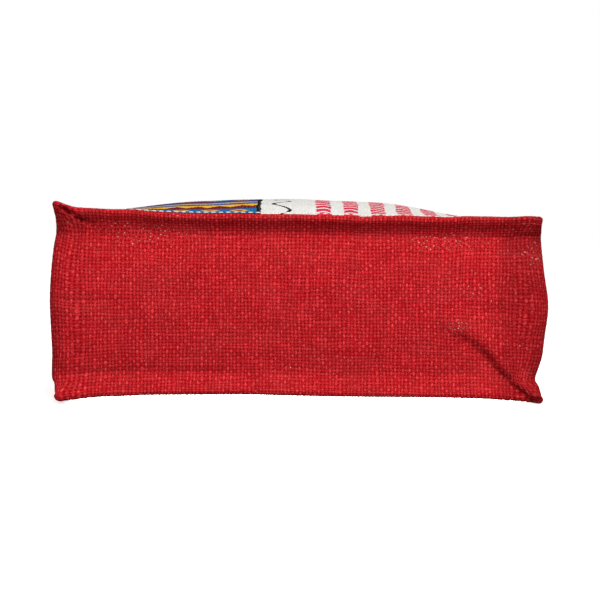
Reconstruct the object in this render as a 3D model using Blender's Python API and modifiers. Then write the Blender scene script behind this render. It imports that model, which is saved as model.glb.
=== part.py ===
"""A gusseted burlap shopping bag that lies on its back panel, base to the front.

The bag is sewn from three cloths and two straps: one gusset strip that runs down one
side, across the base and up the other side, a front panel, a back panel and a webbing
handle on each panel.

Frame: +X runs to the right along the base, +Y from the base to the mouth and +Z up.
The origin lies on the surface under the bag, below the middle of the back panel.
All sizes are in millimetres until a point is placed, and MM turns them into metres.
"""
import math
from collections import namedtuple

import bmesh
import bpy

MM = 0.001

# ---------------------------------------------------------------- driving dimensions
BAG_WIDTH = 304.0        # seam to seam across the base
BAG_LENGTH = 300.0       # base seam to mouth
CLOTH = 1.3              # one layer of burlap
HANDLE_AIR = 0.7         # space between a handle and the panel that it is sewn to
HEM_WIDTH = 25.0         # the mouth is turned in and sewn down this far
HEM_STEP = 1.5           # single cloth becomes double over this length
HEM_END = 11.0           # a panel's double cloth stops this far from its side seams
ROLL = 2.55              # outer radius of the rolled edge at a seam
PANEL_INSET = 5.3        # from the tip of the rolled edge to the edge of a panel
STRAP_WIDTH = 28.0
STRAP_THICKNESS = 2.4
STRAP_SPACING = 110.0    # between the middles of a handle's two ends
STRAP_REACH = 95.0       # how far a handle reaches past the mouth
SEWN_LENGTH = 24.0       # of each handle end, inside the hem
TWIST_LEAD = 1.05        # above 1, a strap stands on edge a little before its top
FRONT_HANDLE_TOP = 96.0  # height of the middle of the strap
BACK_HANDLE_TOP = STRAP_WIDTH / 2 + 0.3

HALF_WIDTH = BAG_WIDTH / 2
BASE_Y = -BAG_LENGTH / 2
MOUTH_Y = BAG_LENGTH / 2

# ---------------------------------------------------------------- shape of the cloth
# Outer height of the front panel at places across it: along the base seam, along its
# highest line and along the mouth.
FrontSection = namedtuple("FrontSection", "at seam crest mouth")
FRONT_SECTIONS = (
    FrontSection(at=-152, seam=123.2, crest=114.0, mouth=102.0),
    FrontSection(at=-112, seam=121.5, crest=120.6, mouth=107.0),
    FrontSection(at=-60, seam=118.8, crest=126.0, mouth=112.0),
    FrontSection(at=0, seam=117.8, crest=127.8, mouth=114.0),
    FrontSection(at=40, seam=117.0, crest=126.0, mouth=113.0),
    FrontSection(at=75, seam=117.0, crest=122.2, mouth=110.0),
    FrontSection(at=97, seam=116.8, crest=116.4, mouth=107.0),
    FrontSection(at=152, seam=117.4, crest=111.0, mouth=101.0),
)
CREST_REACH = 130.0      # from the base seam to the highest line

# Outer height of the back panel along the base seam: its ends rest, its middle lifts.
BackSection = namedtuple("BackSection", "at seam")
BACK_SECTIONS = (
    BackSection(at=-152, seam=1.8),
    BackSection(at=-120, seam=5.0),
    BackSection(at=-40, seam=6.3),
    BackSection(at=20, seam=5.0),
    BackSection(at=100, seam=4.0),
    BackSection(at=132, seam=2.5),
    BackSection(at=152, seam=0.0),
)
BACK_LIFT_REACH = 26.0   # from the base seam to where the back panel lies flat

# How far the base lies behind its seams, by share of the depth from back to front.
BaseRecess = namedtuple("BaseRecess", "at recess")
BASE_RECESS = (
    BaseRecess(at=0.00, recess=5.7),
    BaseRecess(at=0.06, recess=5.3),
    BaseRecess(at=0.16, recess=4.0),
    BaseRecess(at=0.32, recess=2.7),
    BaseRecess(at=0.48, recess=2.2),
    BaseRecess(at=0.66, recess=2.8),
    BaseRecess(at=0.82, recess=4.4),
    BaseRecess(at=1.00, recess=7.4),
)
BASE_BOW = 5.0           # the base draws back this much more at its two ends
BASE_BOW_POWER = 8

# How far each side swells past its seams beside the base, by share of the depth.
SideSwell = namedtuple("SideSwell", "at left right")
SIDE_SWELL = (
    SideSwell(at=0.00, left=3.0, right=-3.0),
    SideSwell(at=0.09, left=4.2, right=-4.8),
    SideSwell(at=0.14, left=3.6, right=-4.4),
    SideSwell(at=0.22, left=3.2, right=-1.4),
    SideSwell(at=0.35, left=3.7, right=2.2),
    SideSwell(at=0.52, left=4.4, right=4.4),
    SideSwell(at=0.70, left=3.2, right=1.9),
    SideSwell(at=0.86, left=1.1, right=0.2),
    SideSwell(at=1.00, left=0.0, right=-0.4),
)
SIDE_FOLD_DEPTH = 15.0   # the sides fold in this far at the mouth
SIDE_FOLD_START = 30.0   # from the base, where the swell starts to turn into the fold
SIDE_FOLD_POWER = 1.5

# Corner ears of the front seam, where the rolled edge sticks out past the corner.
Ear = namedtuple("Ear", "x rise lean reach")
FRONT_EARS = (
    Ear(x=-HALF_WIDTH, rise=4.6, lean=1.4, reach=10.0),
    Ear(x=HALF_WIDTH, rise=-1.0, lean=-1.2, reach=5.0),
)

# Folds pressed into the base: soft lines along points of x and height, where the cloth
# stands out (lift above 0) or draws in (below 0), and how wide the line is.
Crease = namedtuple("Crease", "points lift_start lift_end spread")
BASE_CREASES = (
    Crease(((84, 49), (108, 35), (127, 18), (139, 7)), -0.8, -2.6, 5.0),
    Crease(((92, 55), (117, 42), (137, 26), (146, 15)), 1.4, 3.4, 7.5),
    Crease(((-100, 25), (-6, 22), (67, 17)), -0.6, -0.6, 6.0),
    Crease(((-146, 119), (-130, 111)), -2.2, -0.8, 4.0),
    Crease(((-146, 64), (-112, 64)), -1.0, -0.4, 4.0),
    Crease(((87, 59), (148, 58)), -0.4, -1.0, 4.0),
    Crease(((-92, 66), (-70, 67)), -1.0, -1.0, 8.0),
)

# Rows of the gusset beside a seam, from the turned-in edge to where the open cloth
# starts. `base` and `side` are insets from the tip of the roll, `drop` is the way from
# the seam's height into the depth, `corner` rounds the row in plan and `open_cloth` is
# how much of the open cloth's own shape it takes.
SeamRow = namedtuple("SeamRow", "base side drop corner open_cloth")
TURNED_IN = (
    SeamRow(base=9.5, side=9.5, drop=2.90, corner=0.6, open_cloth=0.0),
    SeamRow(base=5.0, side=5.0, drop=2.50, corner=0.6, open_cloth=0.0),
    SeamRow(base=3.7, side=3.7, drop=0.70, corner=0.8, open_cloth=0.0),
    SeamRow(base=2.55, side=2.55, drop=0.00, corner=1.9, open_cloth=0.0),
)
ROLL_ANGLES = (45, 0, -45)
FRONT_LIP = (
    SeamRow(base=2.6, side=1.7, drop=5.5, corner=3.9, open_cloth=0.0),
    SeamRow(base=4.5, side=2.5, drop=7.0, corner=5.5, open_cloth=0.1),
    SeamRow(base=6.4, side=2.4, drop=8.8, corner=7.5, open_cloth=0.4),
    SeamRow(base=7.6, side=1.6, drop=11.2, corner=9.0, open_cloth=0.75),
)
BACK_LIP = (
    SeamRow(base=1.8, side=1.2, drop=5.1, corner=3.6, open_cloth=0.0),
    SeamRow(base=2.4, side=1.2, drop=7.4, corner=5.0, open_cloth=0.1),
    SeamRow(base=3.2, side=1.0, drop=10.8, corner=7.0, open_cloth=0.3),
    SeamRow(base=4.6, side=0.8, drop=14.2, corner=9.0, open_cloth=0.75),
)
BODY_CORNER = 10.0       # the base turns into the sides on this radius
BODY_ROWS = 11
TIP_CORNER = 4.5         # the tip of the rolled edge turns the bag's corner on this

# Where the gusset's columns stand along a side, from the mouth, and along the base.
HEM_START_Y = MOUTH_Y - HEM_WIDTH
SIDE_STATIONS = (MOUTH_Y, (MOUTH_Y + HEM_START_Y) / 2, HEM_START_Y, HEM_START_Y - HEM_STEP,
                 98, 68, 38, 8, -22, -52, -80, -104, -118)
NEAR_CORNER = (0.4, 0.75)   # shares of the way from the last of those to the corner
BASE_LEFT_END = -138
BASE_COARSE = (-128, 72, 14)   # first place, last place, how many
BASE_FINE = (78, 133, 11)      # closer together where the long crease runs
CORNER_STEPS = 4
CORNER_REACH = 14.0      # the panels' rows and columns lie closer within this of a corner
FRONT_PANEL_GRID = (18, 12)    # columns and rows apart from those
BACK_PANEL_GRID = (13, 9)
HANDLE_STEPS = 25

# ---------------------------------------------------------------- colours and finish
RED_JUTE = (0.42, 0.012, 0.018, 1.0)
OFF_WHITE_JUTE = (0.76, 0.75, 0.70, 1.0)
RED_WEBBING = (0.36, 0.012, 0.018, 1.0)
CLOTH_ROUGHNESS = 0.92


# ---------------------------------------------------------------- small mathematics
def blend(start, end, share):
    """The value that lies a share of the way from start to end."""
    return start + (end - start) * share


def ease(share):
    """0 to 1 with a soft start and a soft end."""
    share = min(max(share, 0.0), 1.0)
    return share * share * (3.0 - 2.0 * share)


def evenly(first, last, count):
    """Places at one spacing from first to last."""
    return [blend(first, last, step / (count - 1)) for step in range(count)]


def read_table(rows, at, column):
    """A column's value at a place, on a smooth curve through the table's rows."""
    places = [row.at for row in rows]
    values = [getattr(row, column) for row in rows]
    at = min(max(at, places[0]), places[-1])
    low = 0
    while low < len(rows) - 2 and at > places[low + 1]:
        low += 1

    def slope(row):
        before = max(row - 1, 0)
        after = min(row + 1, len(rows) - 1)
        return (values[after] - values[before]) / (places[after] - places[before])

    span = places[low + 1] - places[low]
    rise = values[low + 1] - values[low]
    share = (at - places[low]) / span
    leaving = span * slope(low) - rise
    arriving = rise - span * slope(low + 1)
    bend = share * (1.0 - share) * blend(leaving, arriving, share)
    return values[low] + rise * share + bend


def near_line(x, z, points):
    """Distance to a line through points, and the share of the line passed there."""
    best = None
    steps = len(points) - 1
    for step in range(steps):
        (x0, z0), (x1, z1) = points[step], points[step + 1]
        length_2 = (x1 - x0) ** 2 + (z1 - z0) ** 2
        along = ((x - x0) * (x1 - x0) + (z - z0) * (z1 - z0)) / length_2
        along = min(max(along, 0.0), 1.0)
        away = math.hypot(x - blend(x0, x1, along), z - blend(z0, z1, along))
        if best is None or away < best[0]:
            best = (away, (step + along) / steps)
    return best


# ---------------------------------------------------------------- where the cloth lies
def front_height(x, y):
    """Outer height of the front seam and panel."""
    from_base = y - BASE_Y
    seam = read_table(FRONT_SECTIONS, x, "seam")
    crest = read_table(FRONT_SECTIONS, x, "crest")
    mouth = read_table(FRONT_SECTIONS, x, "mouth")
    if from_base < CREST_REACH:
        share = from_base / CREST_REACH
        height = blend(seam, crest, share * (2.0 - share))
    else:
        height = blend(crest, mouth, ease((from_base - CREST_REACH) / (BAG_LENGTH - CREST_REACH)))
    for ear in FRONT_EARS:
        height += ear.rise * ear_share(ear, x, y)
    return height


def back_height(x, y):
    """Outer height of the back seam and panel, 0 where it lies on the surface."""
    lifted = 1.0 - ease((y - BASE_Y) / BACK_LIFT_REACH)
    return read_table(BACK_SECTIONS, x, "seam") * lifted


def ear_share(ear, x, y):
    """1 at the corner where an ear stands, fading to 0 within its reach."""
    away = math.hypot(x - ear.x, y - BASE_Y)
    return math.exp(-(away / ear.reach) ** 2)


def lean_out(x, y, strength):
    """Place across the bag of a point that leans outwards with a corner's ear."""
    lean = 0.0
    for ear in FRONT_EARS:
        outward = math.copysign(1.0, ear.x)
        lean += outward * ear.lean * ear_share(ear, x, y) * strength
    return x + lean


def side_swell(side, share, y):
    """How far a side stands outside its seams at a share of the depth."""
    swell = read_table(SIDE_SWELL, share, side)
    folded = -SIDE_FOLD_DEPTH * (1.0 - abs(2.0 * share - 1.0) ** SIDE_FOLD_POWER)
    turned = ease((y - BASE_Y - SIDE_FOLD_START) / (BAG_LENGTH - SIDE_FOLD_START))
    return blend(swell, folded, turned)


def base_recess(x, share):
    """How far the open cloth of the base lies behind the seams."""
    bow = BASE_BOW * abs(x / HALF_WIDTH) ** BASE_BOW_POWER
    return read_table(BASE_RECESS, share, "recess") + bow


def crease_lift(x, z):
    """How far the folds of the base push its cloth out at one place."""
    lift = 0.0
    for crease in BASE_CREASES:
        away, passed = near_line(x, z, crease.points)
        strength = blend(crease.lift_start, crease.lift_end, passed)
        lift += strength * math.exp(-(away / crease.spread) ** 2)
    return lift


# ---------------------------------------------------------------- the gusset's grid
Column = namedtuple("Column", "side part place")


def gusset_columns():
    """Columns from the left mouth round the base to the right mouth."""
    base_stations = [BASE_LEFT_END] + evenly(*BASE_COARSE) + evenly(*BASE_FINE)
    side = [("side", y) for y in SIDE_STATIONS]
    side += [("near corner", share) for share in NEAR_CORNER]
    side += [("corner", step / CORNER_STEPS) for step in range(CORNER_STEPS + 1)]
    columns = [Column("left", part, place) for part, place in side]
    columns += [Column("left" if x < 0 else "right", "base", x) for x in base_stations]
    columns += [Column("right", part, place) for part, place in reversed(side)]
    return columns


def roll_rows():
    """Rows round the outside of the rolled edge."""
    rows = []
    for degrees in ROLL_ANGLES:
        angle = math.radians(degrees)
        inset = ROLL - ROLL * math.cos(angle)
        drop = ROLL - ROLL * math.sin(angle)
        corner = max(TIP_CORNER - inset, TURNED_IN[-1].corner)
        rows.append(SeamRow(base=inset, side=inset, drop=drop, corner=corner, open_cloth=0.0))
    return rows


def gusset_rows():
    """Rows across the gusset, from its edge at the back seam to that at the front."""
    back = [("back", row) for row in list(TURNED_IN) + roll_rows() + list(BACK_LIP)]
    body = [("body", share) for share in evenly(0.0, 1.0, BODY_ROWS + 2)[1:-1]]
    front = [("front", row) for row in list(TURNED_IN) + roll_rows() + list(FRONT_LIP)]
    return back + body + front[::-1]


def column_in_plan(column, row):
    """Place in plan of one column along the bag's outline, inset by a row's insets."""
    if column.part == "base":
        return column.place, BASE_Y + row.base
    side_x = HALF_WIDTH - row.side
    corner_y = BASE_Y + row.base + row.corner
    if column.part == "side":
        x, y = side_x, column.place
    elif column.part == "near corner":
        x, y = side_x, blend(SIDE_STATIONS[-1], corner_y, column.place)
    else:
        angle = column.place * math.pi / 2
        x = side_x - row.corner * (1.0 - math.cos(angle))
        y = corner_y - row.corner * math.sin(angle)
    return (-x if column.side == "left" else x), y


def open_cloth_point(column, share):
    """A point of the gusset's open cloth, at a share of the depth from back to front."""
    outline = SeamRow(base=0, side=0, drop=0, corner=BODY_CORNER, open_cloth=1)
    x, y = column_in_plan(column, outline)
    back, front = back_height(x, y), front_height(x, y)
    z = blend(back + BACK_LIP[-1].drop, front - FRONT_LIP[-1].drop, share)
    swell = side_swell(column.side, (z - back) / (front - back), y)
    x, y = column_in_plan(column, outline._replace(base=base_recess(x, share), side=-swell))
    if column.part == "base":
        y -= crease_lift(x, z)
    if column.part == "corner":
        y -= crease_lift(x, z) * math.sin(column.place * math.pi / 2)
    return x, y, z


def seam_point(column, seam, row):
    """A point of the gusset on or beside a rolled edge."""
    x, y = column_in_plan(column, row)
    if seam == "front":
        z = front_height(x, y) - row.drop
        x = lean_out(x, y, 1.0 - row.open_cloth)
    else:
        z = back_height(x, y) + row.drop
    if row.open_cloth == 0.0:
        return x, y, z
    open_x, open_y, _ = open_cloth_point(column, 1.0 if seam == "front" else 0.0)
    return blend(x, open_x, row.open_cloth), blend(y, open_y, row.open_cloth), z


def gusset_point(column, row):
    """A point of the gusset's outer face, from its column and row."""
    kind, value = row
    if kind == "body":
        return open_cloth_point(column, value)
    return seam_point(column, kind, value)


def gusset_hem(column, row):
    """1 where the gusset is turned in at the mouth and so is double."""
    in_hem = column.part == "side" and column.place >= HEM_START_Y
    return 1.0 if in_hem and row[0] == "body" else 0.0


# ---------------------------------------------------------------- the panels' grids
def panel_columns(count):
    """Places across a panel, closer at its corners and at each end of its hem."""
    edge = HALF_WIDTH - PANEL_INSET
    hem_end = HALF_WIDTH - HEM_END
    corner = hem_end - CORNER_REACH
    left = [-edge, -hem_end - HEM_STEP, -hem_end, -(hem_end + corner) / 2]
    return left + evenly(-corner, corner, count) + [-place for place in reversed(left)]


def panel_rows(count):
    """Places along a panel from its base edge to the mouth, with the hem's step."""
    edge = BASE_Y + PANEL_INSET
    corner = [edge, edge + CORNER_REACH / 3, edge + 2 * CORNER_REACH / 3]
    open_rows = evenly(edge + CORNER_REACH, HEM_START_Y - HEM_STEP, count)
    return corner + open_rows + [HEM_START_Y, (HEM_START_Y + MOUTH_Y) / 2, MOUTH_Y]


def panel_hem(x, y):
    """1 where a panel is turned in at the mouth and so is double."""
    across = abs(x) < HALF_WIDTH - HEM_END + HEM_STEP / 2
    along = y > HEM_START_Y - HEM_STEP / 2
    return 1.0 if across and along else 0.0


# ---------------------------------------------------------------- building tools
def clear_scene():
    """Start from an empty file."""
    for old in list(bpy.data.objects):
        bpy.data.objects.remove(old, do_unlink=True)


def finish(name, colour):
    """One plain cloth material."""
    material = bpy.data.materials.new(name)
    material.use_nodes = True
    shader = material.node_tree.nodes["Principled BSDF"]
    shader.inputs["Base Color"].default_value = colour
    shader.inputs["Roughness"].default_value = CLOTH_ROUGHNESS
    shader.inputs["Metallic"].default_value = 0.0
    return material


def cloth_from_grid(name, columns, rows, place, thickness, offset, material, hem=None):
    """A cloth: a grid of columns and rows put in place and given its thickness."""
    mesh = bpy.data.meshes.new(name)
    grid = bmesh.new()
    across, along = len(columns) - 1, len(rows) - 1
    bmesh.ops.create_grid(grid, x_segments=across, y_segments=along, size=0.5)
    weights = []
    for vertex in grid.verts:
        column = columns[round((vertex.co.x + 0.5) * across)]
        row = rows[round((vertex.co.y + 0.5) * along)]
        vertex.co = [MM * value for value in place(column, row)]
        weights.append(hem(column, row) if hem else 0.0)
    grid.to_mesh(mesh)
    grid.free()
    mesh.shade_smooth()
    cloth = bpy.data.objects.new(name, mesh)
    cloth.data.materials.append(material)
    solid = cloth.modifiers.new("thickness", "SOLIDIFY")
    solid.offset = offset
    if hem:
        doubled = cloth.vertex_groups.new(name="hem")
        for index, weight in enumerate(weights):
            doubled.add([index], weight, "REPLACE")
        solid.thickness = 2.0 * thickness * MM
        solid.vertex_group = doubled.name
        solid.thickness_vertex_group = 0.5
    else:
        solid.thickness = thickness * MM
    return cloth


# ---------------------------------------------------------------- the pieces
def make_gusset():
    """The one strip of red cloth: left side, base and right side."""
    return cloth_from_grid("gusset", gusset_columns(), gusset_rows(), gusset_point,
                           CLOTH, -1.0, finish("red_jute", RED_JUTE), gusset_hem)


def make_front_panel(material):
    """The upper panel, which bulges behind the base seam."""
    def place(x, y):
        return lean_out(x, y, 1.0), y, front_height(x, y)

    return cloth_from_grid("front_panel", panel_columns(FRONT_PANEL_GRID[0]),
                           panel_rows(FRONT_PANEL_GRID[1]), place, CLOTH, -1.0, material,
                           panel_hem)


def make_back_panel(material):
    """The lower panel, flat on the surface behind the lift of its base edge."""
    def place(x, y):
        return x, y, back_height(x, y)

    return cloth_from_grid("back_panel", panel_columns(BACK_PANEL_GRID[0]),
                           panel_rows(BACK_PANEL_GRID[1]), place, CLOTH, 1.0, material,
                           panel_hem)


def handle_path():
    """Stations of a handle: how far each end is sewn down, then the loop's angle."""
    sewn = [("left end", place) for place in (0.0, 0.5)]
    loop = [("loop", angle) for angle in evenly(0.0, math.pi, HANDLE_STEPS)]
    return sewn + loop + [("right end", place) for place in (0.5, 0.0)]


def handle_point(station, across, carried, apex_height):
    """A point of a handle's middle face; `carried` is the height where it is sewn on."""
    part, place = station
    half_spacing = STRAP_SPACING / 2
    if part != "loop":
        x = -half_spacing + across if part == "left end" else half_spacing - across
        y = MOUTH_Y - SEWN_LENGTH * (1.0 - place)
        return x, y, carried(x, y)
    toward_x = half_spacing * math.sin(place)
    toward_y = STRAP_REACH * math.cos(place)
    length = math.hypot(toward_x, toward_y)
    twist = math.pi / 2 * ease(math.sin(place) * TWIST_LEAD)
    lie_x, lie_y = toward_y / length, -toward_x / length
    x = -half_spacing * math.cos(place) + across * math.cos(twist) * lie_x
    y = MOUTH_Y + STRAP_REACH * math.sin(place) + across * math.cos(twist) * lie_y
    outward = -1.0 if place < math.pi / 2 else 1.0
    end_x = outward * half_spacing
    flat = 1.0 - math.sin(twist)
    tilt = carried(end_x - outward * across, MOUTH_Y) - carried(end_x, MOUTH_Y)
    middle = blend(apex_height, carried(end_x, MOUTH_Y), flat)
    return x, y, middle + across * math.sin(twist) + tilt * flat


def make_handle(name, material, carried, apex_height):
    """A webbing strap: sewn flat inside the mouth, turned on edge at its top."""
    half = STRAP_WIDTH / 2

    def place(station, across):
        return handle_point(station, across, carried, apex_height)

    return cloth_from_grid(name, handle_path(), [-half, 0.0, half], place,
                           STRAP_THICKNESS, 0.0, material)


def main():
    """Build the five pieces in a collection of their own."""
    clear_scene()
    bag = bpy.data.collections.new("burlap_bag")
    bpy.context.scene.collection.children.link(bag)
    off_white = finish("off_white_jute", OFF_WHITE_JUTE)
    webbing = finish("red_webbing", RED_WEBBING)
    under_hem = 2 * CLOTH + HANDLE_AIR + STRAP_THICKNESS / 2

    def under_front(x, y):
        return front_height(x, y) - under_hem

    def over_back(x, y):
        return back_height(x, y) + under_hem

    pieces = [
        make_gusset(),
        make_front_panel(off_white),
        make_back_panel(off_white),
        make_handle("front_handle", webbing, under_front, FRONT_HANDLE_TOP),
        make_handle("back_handle", webbing, over_back, BACK_HANDLE_TOP),
    ]
    for piece in pieces:
        bag.objects.link(piece)


main()
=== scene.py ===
"""The looks of a gusseted burlap shopping bag that lies on its back panel.

Every cloth starts as a flat, closed sheet in thread units: u counts the threads along it,
v those across it. The sheet is laid where the cloth lies on the bag, its threads are
raised out of the surface, and its u and v stay on it as a UV map that the materials read.
Sizes are in millimetres until a point is placed, and MM turns them into metres.
"""
import math
from collections import namedtuple

import bmesh
import bpy
import numpy as np
from mathutils import Matrix, Vector


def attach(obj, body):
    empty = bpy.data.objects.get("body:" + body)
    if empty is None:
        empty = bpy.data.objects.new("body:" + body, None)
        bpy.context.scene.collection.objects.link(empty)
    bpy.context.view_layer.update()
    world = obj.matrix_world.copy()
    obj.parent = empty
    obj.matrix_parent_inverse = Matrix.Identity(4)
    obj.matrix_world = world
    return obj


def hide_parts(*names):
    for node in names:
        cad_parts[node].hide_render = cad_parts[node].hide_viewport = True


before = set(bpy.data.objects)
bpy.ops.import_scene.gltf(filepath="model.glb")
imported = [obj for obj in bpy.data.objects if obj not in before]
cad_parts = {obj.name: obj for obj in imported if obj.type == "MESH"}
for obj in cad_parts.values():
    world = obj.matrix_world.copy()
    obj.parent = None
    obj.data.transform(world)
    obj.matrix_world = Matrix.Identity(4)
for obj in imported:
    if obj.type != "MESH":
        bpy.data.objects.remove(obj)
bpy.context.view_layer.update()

MM = 0.001

# ---- driving dimensions
BAG_WIDTH = 304.0        # seam to seam across the base
BAG_LENGTH = 300.0       # base seam to mouth
CLOTH = 1.3              # one layer of burlap
HANDLE_AIR = 0.7         # space between a handle and the panel that it is sewn to
HEM_WIDTH = 25.0         # the mouth is turned in and sewn down this far
HEM_END = 11.0           # a panel's hem stops this far from its side seams
ROLL = 2.55              # outer radius of the rolled edge at a seam
PANEL_INSET = 4.3        # from the tip of the rolled edge to the edge of a panel
EDGE_DIP = 1.2           # a panel's edge turns down this far behind the rolled edge
EDGE_REACH = 2.5
SEAM_LINE = 4.0          # from a panel's edge to the stitches that hold it
SEAM_DIP = 0.35          # the stitches draw the panel in this much
SEAM_DIP_REACH = 1.6
STRAP_WIDTH = 28.0
STRAP_THICKNESS = 2.4
STRAP_SPACING = 110.0    # between the middles of a handle's two ends
STRAP_REACH = 95.0       # how far a handle reaches past the mouth
SEWN_LENGTH = 24.0       # of each handle end, inside the hem
SEWN_STATIONS = 6        # along each sewn end of a strap, and along its loop
LOOP_STATIONS = 73
TWIST_LEAD = 1.05        # above 1, a strap stands on edge a little before its top
FRONT_HANDLE_TOP = 96.0  # height of the middle of the strap
BACK_HANDLE_TOP = STRAP_WIDTH / 2 + 0.3

HALF_WIDTH = BAG_WIDTH / 2
BASE_Y = -BAG_LENGTH / 2
MOUTH_Y = BAG_LENGTH / 2
FOLD_RADIUS = CLOTH + 0.15   # outside of the fold where the mouth is turned in

# ---- the weaves
# `along` is the pitch of the threads passed on the way along a cloth, `across` that of
# those passed on the way across it.
Weave = namedtuple("Weave", "along across relief")
BURLAP = Weave(along=2.262, across=2.14, relief=0.42)
PANEL_WEAVE = Weave(along=2.04, across=2.04, relief=0.26)
WEBBING_WEAVE = Weave(along=2.0, across=2.0, relief=0.5)
CRIMP = 0.5              # how far a thread waves, for a radius of 1
STANDING_LEAD = 0.32     # the threads that run across a cloth stand out by this more
SELVEDGE_DROP = 0.7      # the tape is thinner by this at each edge
SELVEDGE_POWER = 6
THREAD = 0.95            # sewing thread
STITCH_PITCH = 4.6
STITCH_ENDS = np.array([0.14, 0.86])   # where a stitch starts and ends in its pitch
FEW_STITCHES = 40        # made together, because a large mesh takes new ones in slowly
CELL = 2                 # threads each way in a face of a cloth's back
BACK, FACE = -1.0, 0.0   # the two sides of a flat cloth

# ---- shape of the cloth
# The front's outer height at places across the bag: at its seam, its crest and its mouth.
FRONT_PLACES = (-152, -112, -60, 0, 40, 75, 97, 152)
FRONT_SEAM = (123.2, 121.5, 118.8, 117.8, 117.0, 117.0, 116.8, 117.4)
FRONT_CREST = (114.0, 120.6, 126.0, 127.8, 125.3, 120.8, 116.4, 111.0)
FRONT_MOUTH = (102.0, 107.0, 112.0, 114.0, 113.0, 110.0, 107.0, 101.0)
CREST_REACH = 130.0      # from the base seam to the highest line

# How far the back seam is lifted, at places across the bag.
BACK_PLACES = (-152, -120, -40, 20, 100, 132, 152)
BACK_SEAM = (1.8, 5.0, 6.3, 5.0, 4.0, 2.5, 0.0)
BACK_LIFT_REACH = 26.0   # from the base seam to where the back panel lies flat

# How far the base lies behind its seams, by share of the depth from back to front.
RECESS_SHARES = (0.0, 0.06, 0.16, 0.32, 0.48, 0.66, 0.82, 1.0)
BASE_RECESS = (5.7, 5.3, 4.0, 2.7, 2.2, 2.8, 4.4, 8.8)
BASE_BOW = 5.0           # the base draws back this much more at its two ends
BASE_BOW_POWER = 8

# How far each side swells past its seams beside the base, by share of the depth.
SWELL_SHARES = (0.0, 0.09, 0.14, 0.22, 0.35, 0.52, 0.70, 0.86, 1.0)
LEFT_SWELL = (3.0, 4.8, 4.0, 3.2, 3.7, 4.4, 3.2, 1.1, 0.0)
RIGHT_SWELL = (-3.0, -5.4, -3.6, 0.2, 2.2, 4.4, 1.9, 0.2, -0.4)
SIDE_FOLD_DEPTH = 15.0   # the sides fold in this far at the mouth
SIDE_FOLD_START = 30.0   # from the base, where the swell starts to turn into the fold
SIDE_FOLD_POWER = 1.5

SEAM_SAG = 0.75          # the front lip ends more level than its seam by this share
LIP_LEVEL = 117.4
SAG_LIMIT = 5.0
SHALLOW_LIP = 0.6        # share by which the front lip is less undercut at its right end
SHALLOW_LIP_START = 118.0
SHALLOW_LIP_END = 142.0
SEAM_WAVE_FADE = 12.0    # from the base seam, how far its unevenness reaches
SIDE_LOOSE = 60.0        # a side is uneven from this far inside its ends
PANEL_LOOSE = 30.0       # and a panel from this far inside its seams

# Ears at the corners, where the rolled edge sticks out past the corner.
Ear = namedtuple("Ear", "x rise lean reach")
FRONT_EARS = (
    Ear(-HALF_WIDTH, rise=4.6, lean=1.4, reach=10.0),
    Ear(HALF_WIDTH, rise=-1.0, lean=-2.2, reach=5.0),
)
BACK_EARS = (
    Ear(-HALF_WIDTH, rise=0.0, lean=2.4, reach=12.0),
    Ear(HALF_WIDTH, rise=0.0, lean=0.9, reach=7.0),
)
BACK_EAR_DROP = 8.0      # the back ear leans out fully this far above its seam

# Soft lines along points of x and height where the base draws in or stands out.
Trough = namedtuple("Trough", "points lift_start lift_end spread")
BASE_TROUGHS = (
    Trough(((-146, 16), (-100, 19), (-6, 14), (67, 11.5)), -2.4, -2.4, 4.5),
    Trough(((120, 105), (152, 105)), 0.0, 6.0, 10.0),
    Trough(((-146, 64), (-112, 64)), -1.0, -0.4, 4.0),
    Trough(((87, 59), (148, 58)), -0.4, -1.0, 4.0),
    Trough(((-92, 66), (-70, 67)), -1.0, -1.0, 8.0),
    Trough(((84, 50), (108, 37), (127, 17), (139, 7)), -0.5, -1.4, 5.0),
    Trough(((92, 56), (117, 44), (137, 28), (146, 17)), 1.0, 2.0, 7.5),
    Trough(((152, 116), (152, 72)), -3.0, -3.0, 16.0),
    Trough(((-152, 100), (-152, 20)), -2.0, -0.6, 14.0),
)
# Pressed folds: the cloth steps up as a line is crossed to its left, within `width`, and
# comes back to the even surface over `fade`. Two folds in opposite directions along one
# line, both stepping down, press a narrow groove.
Fold = namedtuple("Fold", "points step_start step_end width fade")
LEFT_GROOVE = ((-147, 122.6), (-143, 120), (-137, 116), (-129, 112))
BASE_FOLDS = (
    Fold(((85, 50), (93, 45.5), (106, 40), (113, 34.8), (119.5, 28.3), (126, 19.7),
          (132.5, 13.5), (138, 9), (142, 6)), 0.5, 9.5, 1.5, 9.0),
    Fold(((141, 6), (132.5, 13.5), (126, 19.7), (119.5, 28.3), (106, 40)), -3.0, -0.6, 1.0, 4.5),
    Fold(LEFT_GROOVE, -5.2, -3.8, 0.35, 1.3),
    Fold(LEFT_GROOVE[::-1], -3.8, -5.2, 0.35, 1.3),
)

# Unevenness: chance hills of a height, one in each reach, in threads for WANDER.
Hills = namedtuple("Hills", "height reach_along reach_across seed")
SEAM_WAVE = (Hills(0.5, 13.0, 1.0, 21),)
BASE_HILLS = (Hills(0.45, 17.0, 11.0, 31),)
SIDE_HILLS = (Hills(1.3, 61.0, 29.0, 41), Hills(0.52, 19.0, 13.0, 42))
PANEL_HILLS = (Hills(1.6, 74.0, 57.0, 11), Hills(0.5, 19.0, 27.0, 12))
WANDER_ASIDE = (Hills(0.30, 1.7, 7.0, 1), Hills(0.35, 23.0, 31.0, 2))
WANDER_AHEAD = (Hills(0.30, 7.0, 1.7, 3), Hills(0.35, 31.0, 23.0, 4))
CHANCE_SIZE = 64         # the chance heights repeat after this many hills

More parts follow.
